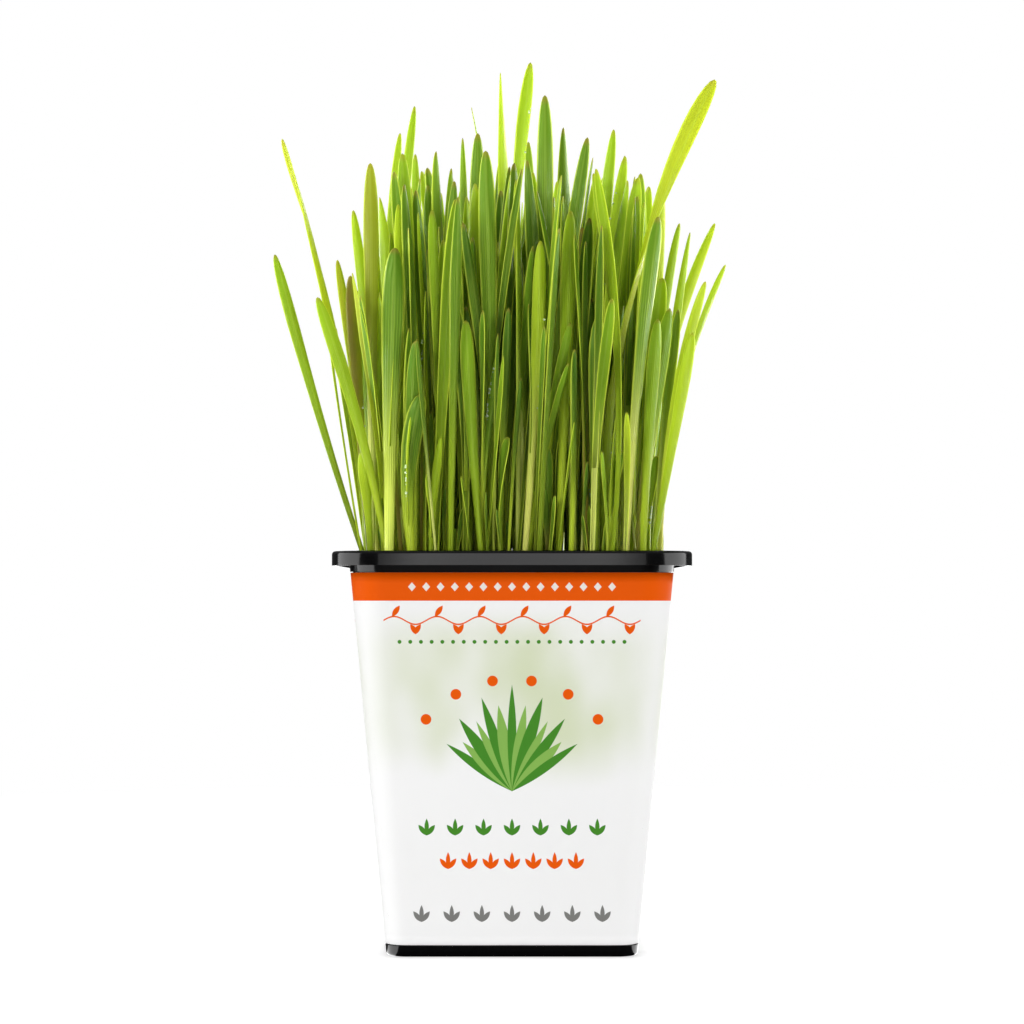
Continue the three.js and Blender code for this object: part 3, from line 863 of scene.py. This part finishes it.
def too_near(a, b):
    """Whether any of the slices a and b, taken pair by pair, are nearer than blades may be."""
    ax, ay, awx, awy, thick_a = a
    bx, by, bwx, bwy, thick_b = b
    cross = awx * bwy - awy * bwx
    safe = np.where(np.abs(cross) > 1e-9, cross, np.nan)
    on_a = ((bx - ax) * bwy - (by - ay) * bwx) / safe
    on_b = ((bx - ax) * awy - (by - ay) * awx) / safe
    crossing = (np.abs(on_a) <= 1) & (np.abs(on_b) <= 1)
    ends = [
        point_to_line(x + side * wx, y + side * wy, *line[:4])
        for (x, y, wx, wy, _), line in ((a, b), (b, a))
        for side in (1, -1)
    ]
    needed = (thick_a + thick_b) / 2 + BLADE_GAP
    return bool(np.any(crossing | (np.minimum.reduce(ends) < needed)))


def clear_of(slices, others):
    """Whether a blade's slices stay clear of the other blades', stacked in one array."""
    if not len(others):
        return True
    x, y, wx, wy, thick = slices
    ox, oy, owx, owy, o_thick = np.moveaxis(others, 1, 0)
    room = np.hypot(wx, wy) + np.hypot(owx, owy) + (thick + o_thick) / 2 + BLADE_GAP
    near, level = np.nonzero(np.hypot(ox - x, oy - y) <= room)
    return not len(near) or not too_near(slices[:, level], others[near, :, level].T)


def depth_inside(x, y, half, corner):
    """How far a point is inside one level of a round-cornered square."""
    px = abs(x) - (half - corner)
    py = abs(y) - (half - corner)
    outside = math.hypot(max(px, 0), max(py, 0))
    return corner - outside - min(max(px, py), 0)


def inside_pot(slices):
    """Whether a blade's edges stay clear of the pot's wall up to the rim."""
    x, y, wx, wy, _ = slices
    for n, z in enumerate(SLICE_HEIGHTS):
        if z > POT_HEIGHT + SLICE or math.isnan(x[n]):
            return True
        half, corner, _ = inner_wall(min(z, POT_HEIGHT))
        for side in (-1, 1):
            edge_x, edge_y = x[n] + side * wx[n], y[n] + side * wy[n]
            if depth_inside(edge_x, edge_y, half, corner) < WALL_EDGE:
                return False
    return True


def patch_of(root):
    """The row and column of the patch that a root stands in, if it is well inside the patch."""
    size = 2 * inner_wall(MAT_TOP)[0] / PATCHES
    column, row = [value / size + PATCHES / 2 for value in root]
    for value in (column, row):
        if abs(value - math.floor(value + 0.5)) * size < PATCH_EDGE:
            return None
    return math.floor(row), math.floor(column)


def inside_clump(blade):
    """Whether a blade ends inside the clump's outline, which is wider lower down."""
    return abs(blade.tip[0]) < CLUMP_HALF + (CLUMP_TOP - blade.tip[2]) * CLUMP_FLARE


def grow_grass():
    """Every blade, with its slices stacked in one array."""
    blades = []
    stack = np.empty((len(LEADING_BLADES) + ROWS * ROWS, 5, len(SLICE_HEIGHTS)))

    def added(blade):
        slices = blade.slices()
        fits = patch_of(blade.root) and inside_pot(slices)
        if not fits or not clear_of(slices, stack[: len(blades)]):
            return False
        stack[len(blades)] = slices
        blades.append(blade)
        return True

    for x, y, tip_x, tip_y, tip_z, bow, *rest in LEADING_BLADES:
        added(Blade((x, y), (tip_x, tip_y, tip_z), (bow, 0), *rest))
    for i in range(ROWS * ROWS):
        for attempt in range(TRIES):
            blade = sown_blade(i, attempt)
            if inside_clump(blade) and added(blade):
                break
    return blades, stack[: len(blades)]


blades, blade_slices = grow_grass()

# Each blade leaves the mat as a stem rolled nearly shut, and opens upwards into a shallow channel.
# Some of the seedlings have a second, younger leaf out of the same roll, and thin new shoots stand
# between them.

LEAF_ACROSS = 6
LEAF_UP = 18
SHOOT_UP = 10
TIP_ROWS = 1.9  # how much closer the rows of faces are at the tip
LEAF_SKIN = 0.22
SUNK_IN_MAT = 1.5
ROLLED = 250  # degrees of arc that a blade's section makes, at the root and at the tip
OPENED = 104
ROLL_ENDS = 0.75
WITHERED_SHARE = 0.035
WITHERED_TONE = 1.2
SECOND_SHARE = 0.62  # of the seedlings that are tried
SECOND_TRIES = 14
SECOND_LEAVES_AT = (0.22, 0.52)  # where it leaves the roll, as a share of its own height
SECOND_HEIGHTS = (0.62, 1.02)  # as a share of the first leaf's height
SECOND_REACH = (0.03, 0.11)
SECOND_WIDTHS = (2.1, 4)
SECOND_HIGHEST = 226
SECOND_CLEAR = 0.1  # its thickness, and a shoot's, where it is kept clear of the others
STEM_DRAWN_IN = 0.22
DEEPER = 0.45  # how much deeper a leaf's channel is than a blade is thick
FOLDED = 0.7  # how far an open leaf is folded along its rib, rather than round
SHOOTS = 4200
SHOOT_HEIGHTS = (14, 78)
SHOOT_WIDTHS = (1.0, 1.9)
SHOOT_LEAN = 0.16
GOLDEN = (math.sqrt(5) - 1) / 2  # steps that spread shoots evenly from side to side
FURTHEST_LEAN = 14
OPEN_FROM = 35  # nearer the sides than this the clump is more open


class SecondLeaf(Blade):
    """A younger leaf: it rises inside its seedling's first leaf, then leans out of it."""

    def __init__(self, first, leaves_at, tip_z, lean, width, turn, twist):
        self.first = first
        self.leaves_at = leaves_at
        self.lean = np.array(lean)
        share = (tip_z - MAT_TOP) / first.height
        tip = (*(first.middle(share) + self.lean), tip_z)
        super().__init__(first.root, tip, (0, 0), width, turn, twist)

    def middle(self, share):
        z_share = share * self.height / self.first.height
        out = max(0, (share - self.leaves_at) / (1 - self.leaves_at)) ** 1.4
        return self.first.middle(z_share) + self.lean * out

    def slices(self):
        rows = []
        shares = (SLICE_HEIGHTS - MAT_TOP) / self.height
        for share in shares:
            angle = self.turned(share)
            across = self.width_at(share) / 2
            x, y = self.middle(share)
            wx, wy = across * math.cos(angle), across * math.sin(angle)
            free = self.leaves_at + 0.06 < share < 1
            rows.append((x, y, wx, wy, SECOND_CLEAR) if free else [math.nan] * 5)
        return np.array(rows).T


def part_way(ends, share):
    """A value at a share of the way from one end to the other."""
    return ends[0] + (ends[1] - ends[0]) * share


def grow_second_leaves():
    """Younger leaves, kept clear of every leaf but the one that they grow out of."""
    stack = np.concatenate((blade_slices, np.full_like(blade_slices, np.nan)))
    grown = []
    for i, first in enumerate(blades):
        leant = math.dist(first.tip[:2], first.root)
        outermost = abs(first.root[0]) > OPEN_FROM
        if draw(2000, i) > SECOND_SHARE or leant > FURTHEST_LEAN or outermost:
            continue
        others = np.delete(stack[: len(blades) + len(grown)], i, axis=0)
        for attempt in range(SECOND_TRIES):
            random = partial(draw, 2001, i, attempt)
            tip_z = MAT_TOP + first.height * part_way(SECOND_HEIGHTS, random(1))
            away = 2 * math.pi * random(2)
            reach = first.height * part_way(SECOND_REACH, random(3))
            leaf = SecondLeaf(
                first,
                leaves_at=part_way(SECOND_LEAVES_AT, random(0)),
                tip_z=min(tip_z, SECOND_HIGHEST),
                lean=(reach * math.cos(away), reach * math.sin(away)),
                width=part_way(SECOND_WIDTHS, random(4)),
                turn=180 * random(5),
                twist=120 * (random(6) - 0.5),
            )
            slices = leaf.slices()
            fits = inside_clump(leaf) and inside_box(leaf.tip)
            if fits and clear_of(slices, others):
                stack[len(blades) + len(grown)] = slices
                grown.append(leaf)
                break
    return grown, stack[: len(blades) + len(grown)]


def grow_shoots(others):
    """Thin new shoots wherever there is room for them between the other leaves."""
    stack = np.concatenate((others, np.full((SHOOTS, *others.shape[1:]), np.nan)))
    grown = []
    half = inner_wall(MAT_TOP)[0]
    for n in range(SHOOTS):
        random = partial(draw, 6000, n)
        x, y = half * (2 * (n * GOLDEN % 1) - 1), half * (2 * random(1) - 1)
        height = part_way(SHOOT_HEIGHTS, random(2) ** 1.4)
        lean = [height * SHOOT_LEAN * (2 * random(k) - 1) for k in (3, 4)]
        shoot = Blade(
            root=(x, y),
            tip=(x + lean[0], y + lean[1], MAT_TOP + height),
            bow=(2 * random(5) - 1, 2 * random(6) - 1),
            width=part_way(SHOOT_WIDTHS, random(7)),
            turn=180 * random(9),
            twist=90 * (random(10) - 0.5),
            full=BLUNT if random(8) < 0.6 else POINTED,
        )
        slices = shoot.slices(SECOND_CLEAR)
        known = stack[: len(others) + len(grown)]
        if patch_of(shoot.root) and inside_pot(slices) and clear_of(slices, known):
            stack[len(known)] = slices
            grown.append(shoot)
    return grown


def inside_box(point):
    low, high = np.array(cad_box) / MM
    return bool(np.all(point > low) and np.all(point < high))


def leaf_section(blade, share, side):
    """A point of the leaf at a share of its height, from -1 to 1 across its skin."""
    opened = eased(share / ROLL_ENDS)
    bend = math.radians(part_way((ROLLED, OPENED), opened))
    width = blade.width_at(share) * (1 - STEM_DRAWN_IN * math.sqrt(1 - opened))
    radius = width / 2 / math.sin(min(bend, math.pi) / 2)
    angle = side * bend / 2
    aside = radius * math.sin(angle)
    full_depth = radius * (1 - math.cos(bend / 2))
    flattened = min(1, (blade.thickness_at(share) + DEEPER) / full_depth) if full_depth else 1
    round_rise = radius * (1 - math.cos(angle))
    folded_rise = full_depth * abs(side)
    rise = part_way((round_rise, folded_rise), FOLDED * opened)
    deep = (rise - full_depth / 2) * flattened
    turned = blade.turned(share)
    x, y = blade.middle(share)
    return (
        x + aside * math.cos(turned) - deep * math.sin(turned),
        y + aside * math.sin(turned) + deep * math.cos(turned),
        MAT_TOP + blade.height * share,
    )


def add_leaf(bm, blade, starts_at):
    """A grid of faces for one leaf, with its rows closer together towards the tip."""
    uv = bm.loops.layers.uv["UVMap"]
    shade = bm.verts.layers.float["tone"]
    rows = LEAF_UP if blade.height > SHOOT_HEIGHTS[1] else SHOOT_UP
    made = bmesh.ops.create_grid(
        bm, x_segments=LEAF_ACROSS, y_segments=rows, size=0.5, calc_uvs=True
    )
    for vert in made["verts"]:
        side = 2 * vert.co.x
        share = part_way((starts_at, 1), 1 - (0.5 - vert.co.y) ** TIP_ROWS)
        vert.co = leaf_section(blade, share, side)
        vert[shade] = blade.tone
        for loop in vert.link_loops:
            loop[uv].uv = (side / 2 + 0.5, share)


def patch_mesh(leaves):
    bm = bmesh.new()
    bm.loops.layers.uv.new("UVMap")
    bm.verts.layers.float.new("tone")
    for leaf in leaves:
        sunk = -SUNK_IN_MAT / leaf.height
        add_leaf(bm, leaf, leaf.leaves_at - 0.03 if isinstance(leaf, SecondLeaf) else sunk)
    bmesh.ops.remove_doubles(bm, verts=bm.verts, dist=0.002)
    return bm


def wheatgrass():
    f = Finish("wheatgrass")
    tone = f.node("ShaderNodeAttribute", {"attribute_name": "tone"}, {}, "Fac")
    uv = f.node("ShaderNodeUVMap", {"uv_map": "UVMap"}, {})
    across, up, _ = f.parts(uv)
    from_rib = abs(across - 0.5)
    blotch = f.noise(60, detail=3, at=f.stretched(1, 1, 0.35))
    stretched_uv = f.node("ShaderNodeMapping", {}, {"Vector": uv, "Scale": (5, 1, 1)})
    calmer = up.smooth(0.97, 0.75)
    streak = (f.noise(9, detail=3, at=stretched_uv) - 0.5) * calmer

    blade_green = f.ramp(
        tone,
        [
            (0.0, (0.038, 0.11, 0.008)),
            (0.3, (0.085, 0.2, 0.01)),
            (0.55, (0.18, 0.32, 0.012)),
            (0.8, (0.32, 0.46, 0.015)),
            (0.88, (0.42, 0.52, 0.03)),
            (0.94, (0.37, 0.37, 0.02)),
            (1.0, (0.2, 0.18, 0.02)),
        ],
    )
    stem = f.ramp(
        (tone * 17) % 1,
        [
            (0.0, (0.09, 0.14, 0.006)),
            (0.4, (0.26, 0.37, 0.014)),
            (0.65, (0.58, 0.7, 0.04)),
            (0.9, (0.9, 0.95, 0.26)),
            (1.0, (0.46, 0.3, 0.06)),
        ],
    )
    colour = f.mix(up.smooth(0.15, 0.7), stem, blade_green)
    colour = f.mix(up.smooth(0.06, 0.0) * 0.6, colour, (0.55, 0.6, 0.26))
    lighter = (blotch - 0.5) * 0.9 + streak * 0.8
    colour = f.mix(lighter.smooth(0, 0.5) * 0.5, colour, (0.34, 0.45, 0.03))
    colour = f.mix(lighter.smooth(0, -0.5) * 0.5, colour, (0.03, 0.07, 0.009))
    vein = (across * (2 * math.pi * 9)).maths("SINE") * calmer
    colour = f.mix(vein.smooth(0, 1) * 0.3, colour, (0.42, 0.55, 0.05))
    colour = f.mix(from_rib.smooth(0.1, 0.0) * 0.22, colour, (0.42, 0.55, 0.1))
    # Painted highlight: a pale lime band along each edge of the leaf, fainter on the rolled stem,
    # stands in for light glowing through and glancing off the leaf's edges.
    painted_edge_glow = from_rib.smooth(0.36, 0.5) * (0.3 + up.smooth(0.2, 0.6) * 0.5)
    colour = f.mix(painted_edge_glow, colour, (0.7, 0.8, 0.08))
    colour = f.mix(tone.smooth(1.02, 1.1) * 0.85, colour, (0.12, 0.04, 0.02))
    colour = f.mix(up.smooth(0.975, 0.995) * 0.45, colour, (0.3, 0.13, 0.04))
    leaf = f.surface(
        base_color=colour,
        roughness=0.22 + blotch * 0.16,
        normal=f.bump(vein * 0.5 + streak, 0.00015),
        ior=1.42,
        specular_ior_level=0.3,
        specular_tint=(0.8, 1, 0.3, 1),
    )
    glow = f.node("ShaderNodeBsdfTranslucent", {}, {"Color": (0.74, 0.88, 0.12, 1)})
    thin = tone.smooth(0, 1) * 0.2 + from_rib.smooth(0.36, 0.5) * 0.2 + 0.18
    return f.cover(f.blend(thin, leaf, glow))


second_leaves, all_slices = grow_second_leaves()
shoots = grow_shoots(all_slices)
leaf_finish = wheatgrass()
leaves_by_patch = {}
for n, leaf in enumerate(blades + second_leaves + shoots):
    if leaf.tone is None:
        # A sown leaf's tone is random, and paler the further its root lies to either side: painted
        # light, for the leaves at the clump's sides that are lit from behind.
        leaf.tone = 0.74 * draw(3000, n) ** 1.6 + 0.22 * abs(leaf.root[0] / SOWN_HALF)
        if draw(3001, n) < WITHERED_SHARE:
            leaf.tone = WITHERED_TONE
    leaves_by_patch.setdefault(patch_of(leaf.root), []).append(leaf)
growing = [mat]
for (row, column), leaves in sorted(leaves_by_patch.items()):
    name = f"grass_patch_{row + 1}{column + 1}"
    patch = finished(f"leaves_{row + 1}{column + 1}", patch_mesh(leaves), leaf_finish)
    growing.append(patch)
    skin = patch.modifiers.new("leaf thickness", "SOLIDIFY")
    skin.thickness = LEAF_SKIN * MM
    skin.offset = 0
    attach(patch, "root")
    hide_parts(name)

# ---- Sprouted grains ----
# The wheat grains that the seedlings grew from, half sunk in the mat: tan husks, each a plump oval
# with a crease along it.

GRAIN_SIZE = (3.3, 1.6, 1.5)
GRAIN_CENTRE = MAT_TOP - 0.15
GRAIN_AROUND = 10
GRAIN_ALONG = 8
GRAIN_SCALES = (0.72, 1.02)
CREASE = 0.3
NEAR_ROOT = 1.9


def one_grain():
    """An oval body lying on its side, with a crease along the top."""
    bm = bmesh.new()
    bmesh.ops.create_uvsphere(bm, u_segments=GRAIN_AROUND, v_segments=GRAIN_ALONG, radius=1)
    for vert in bm.verts:
        aside, over, along = vert.co
        groove = CREASE * math.exp(-((aside / 0.22) ** 2)) if over > 0 else 0
        vert.co = Vector((along, aside, over * (1 - groove)))
    bmesh.ops.scale(bm, vec=GRAIN_SIZE, verts=bm.verts)
    bmesh.ops.recalc_face_normals(bm, faces=bm.faces)
    return mesh_from("one grain", bm)


def set_down(bm, shape, place, size, turn=0):
    """Adds a copy of a small mesh, scaled, turned about upright and moved to its place."""
    known = len(bm.verts)
    bm.from_mesh(shape)
    bm.verts.ensure_lookup_table()
    turned = Matrix.Rotation(turn, 4, "Z") @ Matrix.Scale(size, 4)
    moved = Matrix.Translation(place) @ turned
    bmesh.ops.transform(bm, matrix=moved, verts=bm.verts[known:])


def grains_mesh():
    bm = bmesh.new()
    grain = one_grain()
    half, corner, _ = inner_wall(MAT_TOP)
    for n, blade in enumerate(blades):
        away = 2 * math.pi * draw(4000, n)
        x, y = blade.root + NEAR_ROOT * np.array((math.cos(away), math.sin(away)))
        if depth_inside(x, y, half, corner) > GRAIN_SIZE[0] + WALL_EDGE:
            size = part_way(GRAIN_SCALES, draw(4002, n))
            set_down(bm, grain, (x, y, GRAIN_CENTRE), size, math.pi * draw(4001, n))
    bpy.data.meshes.remove(grain)
    return bm


def husk():
    f = Finish("wheat husk")
    ridge = f.noise(900, detail=3)
    patchy = f.noise(120, detail=2)
    colour = f.mix(patchy.smooth(0.35, 0.65), (0.16, 0.085, 0.03), (0.46, 0.3, 0.13))
    return f.all_over(base_color=colour, roughness=0.62, normal=f.bump(ridge, 0.00025))


grains = finished("sprouted_grains", grains_mesh(), husk())
growing.append(grains)
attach(grains, "root")

# ---- Dew ----
# Small drops of water that cling to the faces and edges of the leaves, in runs along some of
# them, as after a fine spray.

WET_LEAVES = 44
DROPS_EACH = 24
DROP_SIZES = (0.14, 0.42)


def dew_mesh():
    ball = bmesh.new()
    bmesh.ops.create_uvsphere(ball, u_segments=8, v_segments=6, radius=1)
    drop = mesh_from("one drop", ball)
    bm = bmesh.new()
    leaves = [leaf for leaf in blades + second_leaves if inside_clump(leaf)]
    for n in range(WET_LEAVES):
        leaf = leaves[int(draw(5000, n) * len(leaves))]
        edge = 1 if draw(5001, n) < 0.5 else -1
        middle = 0.5 + 0.4 * draw(5002, n)
        for k in range(DROPS_EACH):
            share = min(middle + 0.16 * (draw(5003, n, k) + draw(5004, n, k) - 1), 0.99)
            side = edge * (1 - draw(5005, n, k) ** 2 / 2)
            on_skin = Vector(leaf_section(leaf, share, side))
            radius = part_way(DROP_SIZES, draw(5006, n, k) ** 2.5)
            facing = leaf.turned(share)
            out = Vector((math.sin(facing), -math.cos(facing), 0))
            if out.y > 0:
                out = -out
            set_down(bm, drop, on_skin + out * (LEAF_SKIN / 2 + radius * 0.4), radius)
    bpy.data.meshes.remove(drop)
    return bm


def water():
    f = Finish("water")
    ripple = f.noise(2500, detail=1)
    return f.all_over(
        # Half of each drop is a diffuse pale green-white: a painted glint, with a painted tint of the
        # green leaf seen through it.
        base_color=(0.85, 1, 0.6, 1),
        roughness=0.02 + ripple * 0.03,
        ior=1.33,
        transmission_weight=0.5,
    )


dew = finished("dew_drops", dew_mesh(), water())
growing.append(dew)
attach(dew, "root")

# ---- Studio ----
# A white floor that runs into a white surround, with soft lights in front, to both sides and
# behind. Each falls on the plastic alone, on the paper and the floor, or on what grows.

FLOOR_RADIUS = 4000
FLOOR_GLOWS_FROM = 0.25  # metres from the pot, where the floor starts to give its own light
FLOOR_GLOWS_BY = 0.6
# To glossy rays alone the floor is painted dark but for a glowing panel on each side: a painted
# reflection for the gloss to mirror. Each panel lies between two headings in degrees, as seen from a
# point under the pot, so many metres to that side and forward.
PANEL_CORNER = 0.03
LEFT_PANEL = (-101, -35)
RIGHT_PANEL = (67, 159)
PANEL_GLOW = 3.4
LIGHT_DISTANCE = 1000
AIM_HEIGHT = 130
WHITE = (1, 1, 1, 1)


def floor_mesh():
    bm = bmesh.new()
    bmesh.ops.create_circle(bm, cap_ends=True, segments=64, radius=FLOOR_RADIUS)
    return bm


def on_panel(heading, panel):
    """1 where a heading falls within a panel, with edges that fade over two degrees."""
    low, high = panel
    return heading.smooth(low - 1, low + 1) * heading.smooth(high + 1, high - 1)


def white_floor():
    f = Finish("white floor")
    x, y, _ = f.parts(f.place())
    away = (x * x + y * y) ** 0.5
    left_heading = x.maths("ARCTAN2", x + PANEL_CORNER, -PANEL_CORNER - y) * (180 / math.pi)
    right_heading = x.maths("ARCTAN2", x - PANEL_CORNER, -PANEL_CORNER - y) * (180 / math.pi)
    matt = f.surface(
        base_color=(0.9, 0.9, 0.9, 1),
        roughness=0.8,
        emission_color=WHITE,
        emission_strength=0.5,
    )
    glow = f.node("ShaderNodeEmission", {}, {"Color": WHITE, "Strength": 1.0})
    shown = f.blend(away.smooth(FLOOR_GLOWS_FROM, FLOOR_GLOWS_BY), matt, glow)
    # Painted reflection: glossy rays see a dark floor with two glowing panels in place of the white
    # floor.
    painted_dark_reflection = f.surface(base_color=(0.02, 0.02, 0.02, 1), roughness=0.9)
    painted_panel_glow = f.node("ShaderNodeEmission", {}, {"Color": WHITE, "Strength": PANEL_GLOW})
    panels = on_panel(left_heading, LEFT_PANEL) + on_panel(right_heading, RIGHT_PANEL)
    mirrored = f.node("ShaderNodeLightPath", {}, {}, "Is Glossy Ray")
    return f.cover(f.blend(mirrored, shown, f.blend(panels, painted_dark_reflection, painted_panel_glow)))


floor = finished("floor", floor_mesh(), white_floor())


def soft_light(lit, name, azimuth, elevation, width, height, radiance):
    """A light that faces the object. Azimuth 0 is the front, and 90 the right-hand side."""
    light = bpy.data.lights.new(name, "AREA")
    light.shape = "RECTANGLE"
    light.size = width * MM
    light.size_y = height * MM
    light.energy = radiance * math.pi * width * MM * height * MM
    turn, rise = math.radians(azimuth), math.radians(elevation)
    level = math.cos(rise)
    out = Vector((math.sin(turn) * level, -math.cos(turn) * level, math.sin(rise)))
    lamp = bpy.data.objects.new(name, light)
    lamp.location = (out * LIGHT_DISTANCE + Vector((0, 0, AIM_HEIGHT))) * MM
    lamp.rotation_euler = out.to_track_quat("Z", "Y").to_euler()
    lamp.visible_camera = False
    lamp.light_linking.receiver_collection = lit
    bpy.context.scene.collection.objects.link(lamp)


def light_up(group, pieces, *lights):
    """Lights that fall on some pieces alone, each given as soft_light takes it."""
    lit = bpy.data.collections.new(group)
    for piece in pieces:
        lit.objects.link(piece)
    for light in lights:
        soft_light(lit, *light)


light_up(
    "plastic",
    [pot],
    ("gloss_front", 0, 6, 170, 620, 2.1),
    ("gloss_front_left", -6, 6, 40, 620, 3.1),
    ("gloss_front_right", 6, 6, 40, 620, 3.1),
    ("gloss_left", -82, 10, 1300, 620, 3.2),
    ("gloss_right", 82, 10, 1300, 620, 3.2),
    ("gloss_back", 180, 10, 300, 620, 2.2),
)
light_up(
    "printed",
    [band, floor],
    ("paper_front", 0, -3, 800, 150, 4.3),
    ("paper_key", -30, -1, 500, 200, 5.0),
    ("paper_left", -84, 6, 500, 800, 2.5),
    ("paper_right", 84, 6, 500, 800, 2.6),
    ("paper_back", 180, 10, 800, 700, 2.4),
    ("floor_top", 0, 90, 700, 700, 1.0),
)
light_up(
    "growing",
    growing,
    ("grass_key", -34, 14, 200, 200, 42),
    ("grass_fill", 12, 2, 500, 500, 4.0),
    ("grass_left_front", -66, 4, 60, 800, 30),
    ("grass_right_front", 58, 4, 60, 800, 30),
    ("grass_left", -100, 6, 400, 800, 15),
    ("grass_right", 100, 6, 400, 800, 16),
    ("grass_left_behind", -142, 12, 500, 800, 8),
    ("grass_right_behind", 142, 12, 500, 800, 10),
    ("grass_back", 180, 20, 900, 800, 2.5),
)


def white_surround():
    """Plain white to the camera, and a soft light from above on the object."""
    f = Finish("surround", "World")
    *_, height = f.parts(f.node("ShaderNodeTexCoord", {}, {}, "Generated"))
    strength = height.smooth(0, 0.95) * 0.29 + 0.06
    lighting = f.node("ShaderNodeBackground", {}, {"Color": WHITE, "Strength": strength})
    seen = f.node("ShaderNodeBackground", {}, {"Color": WHITE, "Strength": 1.0})
    to_camera = f.node("ShaderNodeLightPath", {}, {}, "Is Camera Ray")
    return f.cover(f.blend(to_camera, lighting, seen))


bpy.context.scene.world = white_surround()
